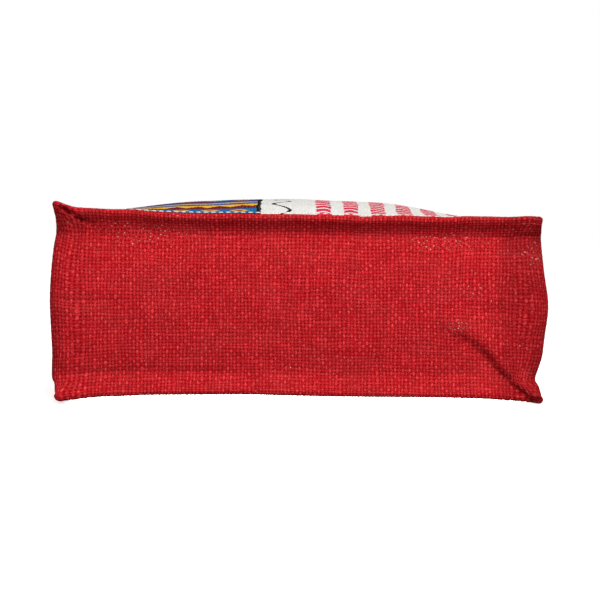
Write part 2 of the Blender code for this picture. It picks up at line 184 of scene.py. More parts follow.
# Rows of the gusset beside a seam, from the turned-in edge to where the open cloth
# starts. `base` and `side` are insets from the tip of the roll, `drop` is the way from
# the seam's height into the depth, `corner` rounds the row in plan and `open_cloth` is
# how much of the open cloth's own shape it takes.
SeamRow = namedtuple("SeamRow", "base side drop corner open_cloth", defaults=(0.0,))


def seam_rows(*rows):
    """Rows beside a seam."""
    return [SeamRow(*row) for row in rows]


TURNED_IN = seam_rows(
    (9.5, 9.5, 2.90, 0.6),
    (5.0, 5.0, 2.50, 0.6),
    (3.7, 3.7, 0.70, 0.8),
    (2.55, 2.55, 0.00, 1.9),
)
ROLL_ANGLES = (60, 30, 0, -30, -60)
FRONT_ROLL = seam_rows(
    (1.3, 1.275, 0.30, 3.2),
    (0.4, 0.34, 1.10, 4.1),
    (0.0, 0.0, 2.00, 4.5),
    (0.4, 0.1, 3.10, 4.2),
    (1.3, 0.4, 4.30, 3.9),
)
FRONT_LIP = seam_rows(
    (2.6, 0.6, 5.5, 3.9),
    (4.4, 0.7, 7.2, 5.5, 0.1),
    (6.8, 0.6, 10.2, 7.5, 0.35),
    (8.7, 0.5, 13.4, 9.0, 0.75),
)
BACK_LIP = seam_rows(
    (1.8, 1.2, 5.1, 3.6),
    (2.4, 1.2, 7.4, 5.0, 0.1),
    (3.2, 1.0, 10.8, 7.0, 0.3),
    (4.6, 0.8, 14.2, 9.0, 0.75),
)
BACK_FOLD_DROP = ROLL    # pressed folds start to show on a row with this drop
FRONT_FOLD_DROP = 1.0
BODY_CORNER = 10.0       # the base turns into the sides on this radius
BODY_ROWS = 11
TIP_CORNER = 4.5         # the tip of the rolled edge turns the bag's corner on this

# Ways along the gusset strip from the middle of the base, the same on both sides.
BASE_END = 133.0
CORNER_START = HALF_WIDTH - BODY_CORNER
CORNER_END = CORNER_START + BODY_CORNER * math.pi / 2
SIDE_START_Y = -118.0
SIDE_START = CORNER_END + SIDE_START_Y - (BASE_Y + BODY_CORNER)
FOLD_START = SIDE_START + MOUTH_Y - FOLD_RADIUS - SIDE_START_Y


# ---- small mathematics
def blend(start, end, share):
    """The value that lies a share of the way from start to end."""
    return start + (end - start) * share


def reached(value, start, end):
    """0 to 1 as a value goes from start to end."""
    return np.clip((value - start) / (end - start), 0.0, 1.0)


def ease(value, start=0.0, end=1.0):
    """0 to 1 as a value goes from start to end, with a soft start and a soft end."""
    share = reached(value, start, end)
    return share * share * (3.0 - 2.0 * share)


def smooth(places, values, at):
    """Values at the places asked for, on a smooth curve through the given ones."""
    places, values = np.asarray(places, float), np.asarray(values, float)
    at = np.clip(at, places[0], places[-1])
    low = np.clip(np.searchsorted(places, at) - 1, 0, len(places) - 2)

    def widen(numbers):
        return numbers.reshape(numbers.shape + (1,) * (values.ndim - 1))

    def slope(row):
        before, after = np.maximum(row - 1, 0), np.minimum(row + 1, len(places) - 1)
        return (values[after] - values[before]) / widen(places[after] - places[before])

    span = widen(places[low + 1] - places[low])
    share = widen(at - places[low]) / span
    rise = values[low + 1] - values[low]
    leaving = span * slope(low) - rise
    arriving = rise - span * slope(low + 1)
    return values[low] + rise * share + share * (1.0 - share) * blend(leaving, arriving, share)


def near_line(x, z, points):
    """Distance to a line through points, the same with a sign (positive to the left of the
    line), and the share of the line passed there."""
    x, z = np.broadcast_arrays(np.asarray(x, float), np.asarray(z, float))
    best = np.full(x.shape, np.inf)
    signed, passed = np.zeros(x.shape), np.zeros(x.shape)
    steps = len(points) - 1
    for step in range(steps):
        (x0, z0), (x1, z1) = points[step], points[step + 1]
        dx, dz = x1 - x0, z1 - z0
        along = np.clip(((x - x0) * dx + (z - z0) * dz) / (dx * dx + dz * dz), 0.0, 1.0)
        off_x, off_z = x - blend(x0, x1, along), z - blend(z0, z1, along)
        away = np.hypot(off_x, off_z)
        nearer = away < best
        best = np.where(nearer, away, best)
        signed = np.where(nearer, away * np.sign(dx * off_z - dz * off_x), signed)
        passed = np.where(nearer, (step + along) / steps, passed)
    return best, signed, passed


def uneven(along, across, table):
    """Soft chance heights, the sum of the hills in a table."""
    along, across = np.broadcast_arrays(np.asarray(along, float), np.asarray(across, float))
    total = 0.0
    for hills in table:
        chance = np.random.default_rng(hills.seed).uniform(-1.0, 1.0, (CHANCE_SIZE, CHANCE_SIZE))
        places = []
        for way in (across / hills.reach_across, along / hills.reach_along):
            low = np.floor(way).astype(int)
            places.append((low % CHANCE_SIZE, (low + 1) % CHANCE_SIZE, ease(way - low)))
        (low_v, high_v, share_v), (low_u, high_u, share_u) = places
        near = blend(chance[low_v, low_u], chance[low_v, high_u], share_u)
        far = blend(chance[high_v, low_u], chance[high_v, high_u], share_u)
        total = total + hills.height * blend(near, far, share_v)
    return total


# ---- where the cloth lies
def front_height(x, y):
    """Outer height of the front seam and panel."""
    from_base = y - BASE_Y
    seam, crest, mouth = (smooth(FRONT_PLACES, heights, x)
                          for heights in (FRONT_SEAM, FRONT_CREST, FRONT_MOUTH))
    rising = reached(from_base, 0.0, CREST_REACH)
    falling = ease(from_base, CREST_REACH, BAG_LENGTH)
    height = np.where(from_base < CREST_REACH, blend(seam, crest, rising * (2.0 - rising)),
                      blend(crest, mouth, falling))
    for ear in FRONT_EARS:
        height = height + ear.rise * ear_share(ear, x, y)
    return height + np.exp(-from_base / SEAM_WAVE_FADE) * uneven(x, 0.0 * x, SEAM_WAVE)


def back_height(x, y):
    """Outer height of the back seam and panel, 0 where it lies on the surface."""
    lifted = 1.0 - ease(y - BASE_Y, 0.0, BACK_LIFT_REACH)
    return smooth(BACK_PLACES, BACK_SEAM, x) * lifted


def ear_share(ear, x, y):
    """1 at the corner where an ear stands, fading to 0 within its reach."""
    return np.exp(-((x - ear.x) ** 2 + (y - BASE_Y) ** 2) / ear.reach ** 2)


def lean_out(x, y, ears, strength):
    """Place across the bag of a point that leans outwards with a corner's ear."""
    for ear in ears:
        x = x + math.copysign(1.0, ear.x) * ear.lean * ear_share(ear, x, y) * strength
    return x


def side_swell(along, share, y):
    """How far a side stands outside its seams at a share of the depth."""
    swell = np.where(along < 0, smooth(SWELL_SHARES, LEFT_SWELL, share),
                     smooth(SWELL_SHARES, RIGHT_SWELL, share))
    folded = -SIDE_FOLD_DEPTH * (1.0 - np.abs(2.0 * share - 1.0) ** SIDE_FOLD_POWER)
    turned = ease(y - BASE_Y, SIDE_FOLD_START, BAG_LENGTH)
    return blend(swell, folded, turned)


def base_recess(x, share):
    """How far the open cloth of the base lies behind the seams."""
    bow = BASE_BOW * np.abs(x / HALF_WIDTH) ** BASE_BOW_POWER
    return smooth(RECESS_SHARES, BASE_RECESS, share) + bow


def crease_lift(x, z):
    """How far the soft lines of the base push its cloth out."""
    lift = 0.0
    for trough in BASE_TROUGHS:
        away, _, passed = near_line(x, z, trough.points)
        strength = blend(trough.lift_start, trough.lift_end, passed)
        lift = lift + strength * np.exp(-(away / trough.spread) ** 2)
    return lift + uneven(x, z, BASE_HILLS)


def fold_lift(x, z):
    """How far the pressed folds alone push the cloth out."""
    lift = 0.0
    for fold in BASE_FOLDS:
        _, signed, passed = near_line(x, z, fold.points)
        step = 0.5 + 0.5 * np.tanh(0.5 * signed / fold.width)
        fading = np.exp(-(np.maximum(signed, 0.0) / fold.fade) ** 2)
        lift = lift + blend(fold.step_start, fold.step_end, passed) * step * fading
    return lift


def over_the_mouth(y):
    """Cloth that runs on past the mouth: its place along the bag and its way inside."""
    past = y - (MOUTH_Y - FOLD_RADIUS)
    turn = np.clip(past / FOLD_RADIUS, 0.0, math.pi)
    back_in = np.maximum(past - math.pi * FOLD_RADIUS, 0.0)
    place = np.minimum(y, MOUTH_Y - FOLD_RADIUS) + FOLD_RADIUS * np.sin(turn) - back_in
    return place, FOLD_RADIUS * (1.0 - np.cos(turn))


# ---- the gusset strip
def base_turn(along):
    """Angle through which the strip has turned from the base towards a side."""
    return reached(np.abs(along), CORNER_START, CORNER_END) * math.pi / 2


def in_plan(along, row):
    """Place in plan of points along the strip, inset by a row's insets."""
    away, turn = np.abs(along), base_turn(along)
    corner_x, base_y = HALF_WIDTH - row.side - row.corner, BASE_Y + row.base
    near_base = reached(away, BASE_END, CORNER_START)
    x = blend(np.minimum(away, BASE_END), corner_x, near_base) + row.corner * np.sin(turn)
    turned_y = base_y + row.corner * (1.0 - np.cos(turn))
    near_side = reached(away, CORNER_END, SIDE_START)
    y = blend(turned_y, SIDE_START_Y, near_side) + np.maximum(away - SIDE_START, 0.0)
    return np.copysign(x, along), y


def seam_sag(height):
    """How much lower the front lip ends where its seam rises above the rest."""
    return SEAM_SAG * np.clip(height - LIP_LEVEL, 0.0, SAG_LIMIT)


def open_cloth_points(along, share):
    """Points of the gusset's open cloth, at a share of the depth from back to front."""
    outline = SeamRow(base=0, side=0, drop=0, corner=BODY_CORNER, open_cloth=1)
    x, y = in_plan(along, outline)
    back, front = back_height(x, y), front_height(x, y)
    z = blend(back + BACK_LIP[-1].drop, front - FRONT_LIP[-1].drop - seam_sag(front), share)
    swell = side_swell(along, (z - back) / (front - back), y)
    loose = ease(y - BASE_Y, 0.0, SIDE_LOOSE) * ease(MOUTH_Y - y, 0.0, SIDE_LOOSE)
    swell = swell + loose * uneven(y, z, SIDE_HILLS)
    x, y = in_plan(along, outline._replace(base=base_recess(x, share), side=-swell))
    return x, y, z


def seam_points(along, seam, row):
    """Points of the gusset on or beside a rolled edge."""
    x, y = in_plan(along, row)
    if seam == "front":
        near_end = ease(x, SHALLOW_LIP_START, SHALLOW_LIP_END)
        y = y - SHALLOW_LIP * near_end * max(row.base - FRONT_ROLL[-1].base, 0.0)
        seam_z = front_height(x, y)
        z = seam_z - row.drop - seam_sag(seam_z) * row.open_cloth
        x = lean_out(x, y, FRONT_EARS, 1.0 - row.open_cloth)
    else:
        z = back_height(x, y) + row.drop
        x = lean_out(x, y, BACK_EARS, ease(row.drop / BACK_EAR_DROP) * (1.0 - row.open_cloth))
    open_x, open_y, _ = open_cloth_points(along, 1.0 if seam == "front" else 0.0)
    return blend(x, open_x, row.open_cloth), blend(y, open_y, row.open_cloth), z


def roll_rows():
    """Rows round the outside of the rolled edge."""
    rows = []
    for degrees in ROLL_ANGLES:
        inset = ROLL - ROLL * math.cos(math.radians(degrees))
        drop = ROLL - ROLL * math.sin(math.radians(degrees))
        rows.append(SeamRow(inset, inset, drop, max(TIP_CORNER - inset, TURNED_IN[-1].corner)))
    return rows


BACK_ROWS = TURNED_IN + roll_rows() + BACK_LIP
FRONT_ROWS = TURNED_IN + FRONT_ROLL + FRONT_LIP
# How much of the open cloth's unevenness, and of its pressed folds, each row takes.
ROW_OPEN = ([row.open_cloth for row in BACK_ROWS] + [1.0] * BODY_ROWS
            + [row.open_cloth for row in reversed(FRONT_ROWS)])
ROW_FOLD = ([ease((row.drop - BACK_FOLD_DROP) / ROLL) for row in BACK_ROWS[:-1]]
            + [1.0] * (BODY_ROWS + 2)
            + [ease((row.drop - FRONT_FOLD_DROP) / ROLL) for row in reversed(FRONT_ROWS[:-1])])


def strip_rows(along):
    """Points of each row of the strip, from its edge at the back seam to the front."""
    back = [seam_points(along, "back", row) for row in BACK_ROWS]
    shares = np.linspace(0.0, 1.0, BODY_ROWS + 2)[1:-1]
    body = [open_cloth_points(along, share) for share in shares]
    front = [seam_points(along, "front", row) for row in reversed(FRONT_ROWS)]
    return np.array([np.stack(np.broadcast_arrays(*row), axis=-1) for row in back + body + front])


def ways_along(points):
    """How far each of a row of points lies along it, by the mean of the lines beside it."""
    steps = np.linalg.norm(np.diff(points, axis=0), axis=-1)
    return np.concatenate([[0.0], np.cumsum(steps.reshape(len(steps), -1).mean(axis=1))])


ROW_PLACES = ways_along(strip_rows(np.linspace(-BASE_END, BASE_END, 41)))
STRIP_WIDTH = ROW_PLACES[-1]
STRIP_THREADS = CELL * round(STRIP_WIDTH / BURLAP.across / CELL)
STRIP_SPLIT = 78         # threads from the middle of the base to where a side starts
OPEN_ROWS = [ROW_PLACES[place] * STRIP_THREADS / STRIP_WIDTH
             for place in (len(BACK_ROWS) - 1, -len(FRONT_ROWS))]


def lay_strip(u, v):
    """Where points of the gusset strip lie, row by row."""
    along = u * BURLAP.along
    away, inward = over_the_mouth(np.abs(along) - FOLD_START + MOUTH_Y - FOLD_RADIUS)
    away = away + FOLD_START - (MOUTH_Y - FOLD_RADIUS)
    places = v * STRIP_WIDTH / STRIP_THREADS
    points = smooth(ROW_PLACES, strip_rows(np.copysign(away, along)), places)
    x, z = points[..., 0], points[..., 2]
    lift = (crease_lift(x, z) * smooth(ROW_PLACES, ROW_OPEN, places)[:, None]
            + fold_lift(x, z) * smooth(ROW_PLACES, ROW_FOLD, places)[:, None])
    points[..., 1] -= lift * np.cos(base_turn(along))
    points[..., 0] -= np.copysign(inward, along)
    return points


def strip_keeps(place):
    """False where the strip is notched at the mouth, beside its seams."""
    before_fold = abs(place.x) < FOLD_START / BURLAP.along + CELL / 2
    return before_fold or OPEN_ROWS[0] < place.y < OPEN_ROWS[1]


# ---- the panels
PANEL_HALF = HALF_WIDTH - PANEL_INSET
PANEL_START = BASE_Y + PANEL_INSET
PANEL_THREADS = CELL * round(PANEL_HALF / PANEL_WEAVE.along)     # from edge to edge
PANEL_FOLD = MOUTH_Y - FOLD_RADIUS - PANEL_START                 # base edge to the fold
PANEL_CUT = PANEL_FOLD + math.pi * FOLD_RADIUS + HEM_WIDTH - FOLD_RADIUS
PANEL_ROWS = CELL * round(PANEL_CUT / PANEL_WEAVE.across / CELL)


def panel_places(u, v):
    """Places on the bag of a panel's threads, and how far inside its hem lies."""
    y, inward = over_the_mouth(PANEL_START + v * PANEL_CUT / PANEL_ROWS)
    return *np.meshgrid(u * 2.0 * PANEL_HALF / PANEL_THREADS, y), inward[:, None]


def from_panel_edge(x, y):
    """How far a place lies inside the seams of a panel."""
    return np.minimum(PANEL_HALF - np.abs(x), y - PANEL_START)


def panel_sinks(x, y):
    """How far a panel is drawn in along its seams and at its very edge."""
    from_edge = from_panel_edge(x, y)
    edge = EDGE_DIP * np.clip(1.0 - from_edge / EDGE_REACH, 0.0, 1.0) ** 2
    return edge + SEAM_DIP * np.exp(-((from_edge - SEAM_LINE) / SEAM_DIP_REACH) ** 2)


def front_face(x, y, inward=0.0):
    """Points of the front panel's face, or that far inside it."""
    loose = (ease(from_panel_edge(x, y), 0.0, PANEL_LOOSE)
             * ease(MOUTH_Y - HEM_WIDTH - y, 0.0, PANEL_LOOSE))
    z = front_height(x, y) - panel_sinks(x, y) + loose * uneven(x, y, PANEL_HILLS) - inward
    return np.stack([lean_out(x, y, FRONT_EARS, 1.0), y, z], axis=-1)


def back_face(x, y, inward=0.0):
    """Points of the back panel's face, or that far inside it."""
    return np.stack([x, y, back_height(x, y) + panel_sinks(x, y) + inward], axis=-1)


def panel_keeps(place):
    """False where a panel's cut is notched, beside the two ends of its hem."""
    hem_half = PANEL_THREADS / 2 * (HALF_WIDTH - HEM_END) / PANEL_HALF
    return place.y < PANEL_ROWS * PANEL_FOLD / PANEL_CUT or abs(place.x) < hem_half


# ---- the handles
def strap_stations(carried, top, across):
    """Points of a strap's middle face at stations along it, at places across it."""
    half_spacing = STRAP_SPACING / 2
    sewn_y = MOUTH_Y - SEWN_LENGTH * (1.0 - np.linspace(0.0, 1.0, SEWN_STATIONS + 1)[:-1, None])
    left_x, sewn_y = np.broadcast_arrays(-half_spacing + across, sewn_y)
    left, right = (np.stack([x, sewn_y, carried(x, sewn_y)], axis=-1) for x in (left_x, -left_x))
    angle = np.linspace(0.0, math.pi, LOOP_STATIONS)[:, None]
    toward_x, toward_y = half_spacing * np.sin(angle), STRAP_REACH * np.cos(angle)
    twist = math.pi / 2 * ease(np.sin(angle) * TWIST_LEAD)
    lying = across * np.cos(twist) / np.hypot(toward_x, toward_y)
    x = -half_spacing * np.cos(angle) + lying * toward_y
    y = MOUTH_Y + STRAP_REACH * np.sin(angle) - lying * toward_x
    outward = np.where(angle < math.pi / 2, -1.0, 1.0)
    end = np.full_like(y, MOUTH_Y)
    carried_middle = carried(outward * half_spacing + 0.0 * across, end)
    tilt = carried(outward * (half_spacing - across), end) - carried_middle
    flat = 1.0 - np.sin(twist)
    z = blend(top, carried_middle, flat) + across * np.sin(twist) + tilt * flat
    return np.concatenate([left, np.stack([x, y, z], axis=-1), right[::-1]])


def under_front(x, y):
    """Height of the front handle's middle face where it is sewn on."""
    return front_height(x, y) - 2 * CLOTH - HANDLE_AIR - STRAP_THICKNESS / 2


def over_back(x, y):
    """Height of the back handle's middle face where it is sewn on."""
    return back_height(x, y) + 2 * CLOTH + HANDLE_AIR + STRAP_THICKNESS / 2


# ---- making cloth
def cut_cloth(first, last, rows, keep=None):
    """A flat closed sheet in thread units, one face to a cell, with its corners notched."""
    cloth = bmesh.new()
    columns = (last - first) // CELL
    bmesh.ops.create_grid(cloth, x_segments=columns, y_segments=rows // CELL, size=0.5)
    bmesh.ops.scale(cloth, vec=(last - first, rows, 1.0), verts=cloth.verts)
    bmesh.ops.translate(cloth, vec=((first + last) / 2, rows / 2, FACE), verts=cloth.verts)
    if keep:
        notch = [face for face in cloth.faces if not keep(face.calc_center_median())]
        bmesh.ops.delete(cloth, geom=notch, context="FACES")
    bmesh.ops.solidify(cloth, geom=cloth.faces[:], thickness=FACE - BACK)
    return cloth


def lies_on(side, item):
    """True for an edge or face that lies on one side of a flat cloth."""
    return all(abs(vertex.co.z - side) < 0.1 for vertex in item.verts)


def part_threads(cloth, side, along, across):
    """Cut one side of a flat cloth into so many faces for each thread, both ways."""
    for axis, samples in ((0, along), (1, across)):
        edges = [edge for edge in cloth.edges if lies_on(side, edge)
                 and abs(edge.verts[0].co[axis] - edge.verts[1].co[axis]) > 0.1]
        bmesh.ops.subdivide_edges(cloth, edges=edges, cuts=CELL * samples - 1,
                                  use_grid_fill=True)


def put(name, data):
    """Put a mesh, a light or a camera in the scene."""
    item = bpy.data.objects.new(name, data)
    bpy.context.scene.collection.objects.link(item)
    return item


def mesh_from(name, shape):
    """A mesh of what has been made with bmesh operators."""
    mesh = bpy.data.meshes.new(name)
    shape.to_mesh(mesh)
    shape.free()
    return mesh


def wander(lying, along, across):
    """Move the points of a cloth along it, so that its threads don't run quite straight."""
    u, v = np.meshgrid(along, across)
    return (lying + np.gradient(lying, along, axis=1) * uneven(u, v, WANDER_ASIDE)[..., None]
            + np.gradient(lying, across, axis=0) * uneven(u, v, WANDER_AHEAD)[..., None])


def lay_cloth(name, cloth, lie, face_lift, back_lift):
    """Lay a flat cloth where it lies and push its two sides out of the surface there.

    `lie` takes places along and across it and gives a point for every pair of them. The
    lifts give how far its face and its back stand out from there, below 0 for inwards.
    """
    mesh = mesh_from(name, cloth)
    flat = np.empty(len(mesh.vertices) * 3, dtype=np.float32)
    mesh.vertices.foreach_get("co", flat)
    flat = flat.reshape(-1, 3).astype(float)
    along, along_index = np.unique(np.round(flat[:, 0], 4), return_inverse=True)
    across, across_index = np.unique(np.round(flat[:, 1], 4), return_inverse=True)
    lying = wander(lie(along, across), along, across)
    outward = np.cross(np.gradient(lying, axis=1), np.gradient(lying, axis=0))
    outward /= np.linalg.norm(outward, axis=-1, keepdims=True)
    lift = np.where(flat[:, 2] > (FACE + BACK) / 2, face_lift(flat[:, 0], flat[:, 1]),
                    back_lift(flat[:, 0], flat[:, 1]))
    points = lying[across_index, along_index] + outward[across_index, along_index] * lift[:, None]
    mesh.vertices.foreach_set("co", (points * MM).ravel())
    corners = np.empty(len(mesh.loops), dtype=np.int32)
    mesh.loops.foreach_get("vertex_index", corners)
    threads = mesh.uv_layers.new(name="threads")
    threads.uv.foreach_set("vector", flat[corners, :2].astype(np.float32).ravel())
    mesh.shade_smooth()
    mesh.update()
    return put(name, mesh)


def plain_weave(depth):
    """Lift of a plain weave: 0 at the top of a float and below it where threads part."""
    def lift(along, across):
        off_along = along - np.floor(along) - 0.5
        off_across = across - np.floor(across) - 0.5
        passing = np.where((np.floor(along) + np.floor(across)) % 2 < 1, 1.0, -1.0)
        over = passing * np.cos(math.pi * off_across)
        under = -passing * np.cos(math.pi * off_along)
        round_along = np.sqrt(np.maximum(1.0 - (2.0 * off_along) ** 2, 0.0))
        round_across = np.sqrt(np.maximum(1.0 - (2.0 * off_across) ** 2, 0.0))
        top = np.maximum(round_along + CRIMP * over + STANDING_LEAD, round_across + CRIMP * under)
        return depth * (top / (1.0 + CRIMP + STANDING_LEAD) - 1.0)
    return lift


def level(height):
    """Lift of a side that is even all over."""
    return lambda along, across: np.full(np.shape(along), height)


def stitch_shares(count):
    """Where so many stitches start and end on a line, as shares of it."""
    return (np.arange(count)[:, None] / count + STITCH_ENDS / count).ravel()


def sewing_lines(face, inward, lines):
    """Places of stitches on a face along straight lines in plan: two ends for each."""
    stitches = []
    for start, end in lines:
        shares = stitch_shares(max(round(math.dist(start, end) / STITCH_PITCH), 1))
        x, y = (blend(start[axis], end[axis], shares) for axis in (0, 1))
        stitches.append(face(x, y, inward).reshape(-1, 2, 3))
    return np.concatenate(stitches)


def box_and_cross(middle, low_y, high_y, half_width):
    """Lines of the box with a cross in it that holds a handle's end."""
    left, right = middle - half_width, middle + half_width
    corners = ((left, low_y), (right, low_y), (right, high_y), (left, high_y))
    box = [(corners[side], corners[(side + 1) % 4]) for side in range(4)]
    return box + [(corners[0], corners[2]), (corners[1], corners[3])]


def sew(name, stitches, material):
    """A row of stitches as one piece: each is a short thread between its two ends."""
    sewn = bmesh.new()
    for first in range(0, len(stitches), FEW_STITCHES):
        few = bmesh.new()
        for start, end in stitches[first:first + FEW_STITCHES]:
            start, end = Vector(start * MM), Vector(end * MM)
            run = end - start
            turn = run.to_track_quat("Z", "Y").to_matrix().to_4x4()
            size = Matrix.Diagonal((THREAD / 2 * MM, THREAD / 2 * MM, run.length / 2, 1.0))
            bmesh.ops.create_uvsphere(few, u_segments=6, v_segments=5, radius=1.0,
                                      matrix=Matrix.Translation((start + end) / 2) @ turn @ size)
        made = mesh_from("few_stitches", few)
        sewn.from_mesh(made)
        bpy.data.meshes.remove(made)
    mesh = mesh_from(name, sewn)
    mesh.shade_smooth()
    mesh.materials.append(material)
    piece = put(name, mesh)
    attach(piece, "root")


# ---- finishes
# The standing red and the lying floats' top red are painted highlights on the crowns of the
# floats; the lying red is the lying threads' red and painted shade on the flanks of all floats.
RED_STANDING_HIGHLIGHT = (0.59, 0.046, 0.052, 1.0)
RED_LYING_PAINTED_SHADE = (0.29, 0.003, 0.006, 1.0)
RED_LYING_HIGHLIGHT = (0.50, 0.024, 0.030, 1.0)
RED_FIBRE = (0.75, 0.080, 0.100, 1.0)
# Painted shade in the holes between the threads.
RED_PAINTED_HOLE_SHADE = (0.15, 0.002, 0.002, 1.0)
RED_SPECK = (0.75, 0.400, 0.340, 1.0)
THREAD_WHITE = (0.66, 0.64, 0.58, 1.0)
THREAD_WHITE_SHADE = (0.46, 0.44, 0.38, 1.0)
THREAD_RED = (0.46, 0.012, 0.020, 1.0)
THREAD_RED_SHADE = (0.26, 0.004, 0.008, 1.0)
OFF_WHITE = (0.64, 0.635, 0.61, 1.0)
OFF_WHITE_SHADE = (0.57, 0.56, 0.53, 1.0)
# Painted shade in the holes between the threads of the pale cloth.
OFF_WHITE_PAINTED_HOLE_SHADE = (0.38, 0.365, 0.33, 1.0)
PRINT_BLUE = (0.010, 0.110, 0.290, 1.0)
PRINT_YELLOW = (0.66, 0.360, 0.030, 1.0)
PRINT_DARK_RED = (0.20, 0.010, 0.016, 1.0)
PRINT_RED = (0.52, 0.020, 0.055, 1.0)
PRINT_BLACK = (0.012, 0.012, 0.014, 1.0)

# A pair in brackets holds the two ends of a soft ramp.
ALL = (0.0, 1.0)
NOISE_SPAN = (0.3, 0.7)          # the values that soft noise takes
YARN_APART, YARN_RUN = 7.3, 0.23  # noise from thread to thread and along each
STANDING_THICK = (0.66, 0.96)    # a thread is this thick where it is thin and where thick
LYING_THICK = (0.72, 1.04)
CROSSING = (-0.08, 0.08)         # a thread is on top when it is higher by this
FILLED = (0.0, 0.75)             # between the threads and on them
FIBRES_ABREAST, FIBRES_RUN = 3.2, 1.8
FIBRE_SPAN = (0.36, 0.64)
FIBRE_RELIEF = 0.35
TONES_APART, TONES_RUN = 3.1, 0.12
RED_TONES = 0.16                 # threads are lighter and darker by this share
PRINT_TONES = 0.08
WEBBING_WIDTH = 1.15             # the tape's threads are this many times as thick
WEBBING_FIBRES = 0.35

# The red cloth: how light its fibres and single floats are, and a painted highlight that
# fades from a float's crown and from its middle line into painted shade on its flanks.
FIBRE_LIGHT = (0.25, 1.1)
FLOAT_DICE = (0.1, 1.0)
FLOAT_LIGHT = (0.45, 1.0)
HIGHLIGHT_HEIGHTS = (0.60, 1.30)
OFF_CREST = (0.06, 0.34)
CREST_HIGHLIGHT = (1.08, 0.40)
DUST_SPAN, DUST = (0.40, 0.7), 0.008
LOOSE_SPAN, LOOSE_FIBRES = (0.55, 0.74), 0.10
# Painted shade: a stretch of it, in threads from the middle, towards the right end of the
# base, darkened to stand in for shade there.
PAINTED_SHADE_START = (51.0, 60.0)
PAINTED_SHADE_END = (68.0, 80.0)
PAINTED_SHADE_TONE = 0.74

# Worn places of the gusset strip, in threads: where they lie, how far they reach and the
# share of their pinholes that show the pale backing.
WornSpot = namedtuple("WornSpot", "along across reach_along reach_across share")
WORN_SPOTS = (
    WornSpot(-42.6, 52.6, 15.0, 4.5, share=0.42),
    WornSpot(41.0, 50.6, 13.0, 4.2, share=0.45),
    WornSpot(43.8, 25.7, 4.2, 2.6, share=0.75),
    WornSpot(64.4, 47.0, 4.0, 5.5, share=0.35),
    WornSpot(48.8, 35.0, 3.0, 7.0, share=0.18),
)
WORN_EDGE = (0.2, 1.0)
STRAY_SPECKS = 0.0015            # share of the pinholes that are pale elsewhere
SPECK_ASIDE = 0.4                # specks stray within this width
SPECK_EDGE = (0.01, 0.05)        # square of the radius
SPECK_FAINT, SPECK_MORE = 0.12, 0.70

# The print, in threads of the panel from its middle and from its base edge.
PRINT_HALF = 69.0
PRINT_START = -3.0
PRINT_END = 142.0
BLOCK_SPLIT_X = -5.0
BLOCK_SPLIT_Y = 73.0
BLOCKS_X = ((-PRINT_HALF, -11.6), (4.0, PRINT_HALF))
BLOCKS_Y = ((PRINT_START, 69.5), (76.5, PRINT_END))
BLOCK_CORNER = 4.0
BORDER = 1.3
BAND_REPEAT = 37.0
BANDS = (                # where each ends, and its ink
    (1.5, PRINT_BLACK), (10.5, PRINT_BLUE), (12.0, PRINT_BLACK), (15.0, PRINT_DARK_RED),
    (16.5, PRINT_BLACK), (23.5, PRINT_YELLOW), (25.0, PRINT_BLACK), (28.0, PRINT_BLUE),
    (29.6, PRINT_YELLOW), (32.6, PRINT_BLUE), (34.0, PRINT_BLACK), (37.0, PRINT_DARK_RED),
)
BLUE_MIDDLE = 6.0
DIAMOND_PITCH = 9.0
DIAMONDS = ((2.9, PRINT_YELLOW), (1.4, PRINT_DARK_RED))
YELLOW_BAND = (16.5, 23.5)
TRIANGLE_PITCH = 7.0
TRIANGLE_SLOPE = 1.5
COLUMN_START = 3.5
COLUMN_PITCH = 8.3
COLUMN_WIDTH = 4.6
CHEVRON_PITCH = 6.0
CHEVRON_INKED = 0.72
VINE_TURN, VINE_REACH, VINE_HALF = 0.26, 2.6, 0.55
INK_RAG = 1.2                    # the edges of the print wander within this


def sum_of(operation, turned_round=False):
    """A method that does one sum with a value, and with a second one if it takes two."""
    def work_out(self, second=0.0):
        pair = (second, self) if turned_round else (self, second)
        return self.recipe.node("Math", dict(enumerate(pair)), operation=operation)
    return work_out


class Value:
    """A number or colour that a material works out at every point of its cloth."""
    __add__ = __radd__ = sum_of("ADD")
    __mul__ = __rmul__ = sum_of("MULTIPLY")
    __sub__ = sum_of("SUBTRACT")
    __rsub__ = sum_of("SUBTRACT", turned_round=True)
    __truediv__ = sum_of("DIVIDE")
    __mod__ = sum_of("FLOORED_MODULO")
    __lt__ = sum_of("LESS_THAN")
    __gt__ = sum_of("GREATER_THAN")
    __abs__ = sum_of("ABSOLUTE")
    at_least = sum_of("MAXIMUM")
    at_most = sum_of("MINIMUM")
    to_and_fro = sum_of("PINGPONG")
    whole = sum_of("FLOOR")
    fraction = sum_of("FRACT")
    root = sum_of("SQRT")
    sine = sum_of("SINE")
    cosine = sum_of("COSINE")

    def __init__(self, recipe, socket):
        self.recipe = recipe
        self.socket = socket

    def ramp(self, span, start=0.0, end=1.0):
        """start to end, softly, as this number goes through a span."""
        inputs = dict(enumerate((self, *span, start, end)))
        return self.recipe.node("MapRange", inputs, interpolation_type="SMOOTHSTEP")

    def within(self, low, high):
        """1 where this number lies from low to high."""
        return (self > low) * (self < high)

    def toned(self, number):
        """This colour made lighter or darker by a number."""
        return self.recipe.node("VectorMath", {0: self, "Scale": number}, operation="SCALE")


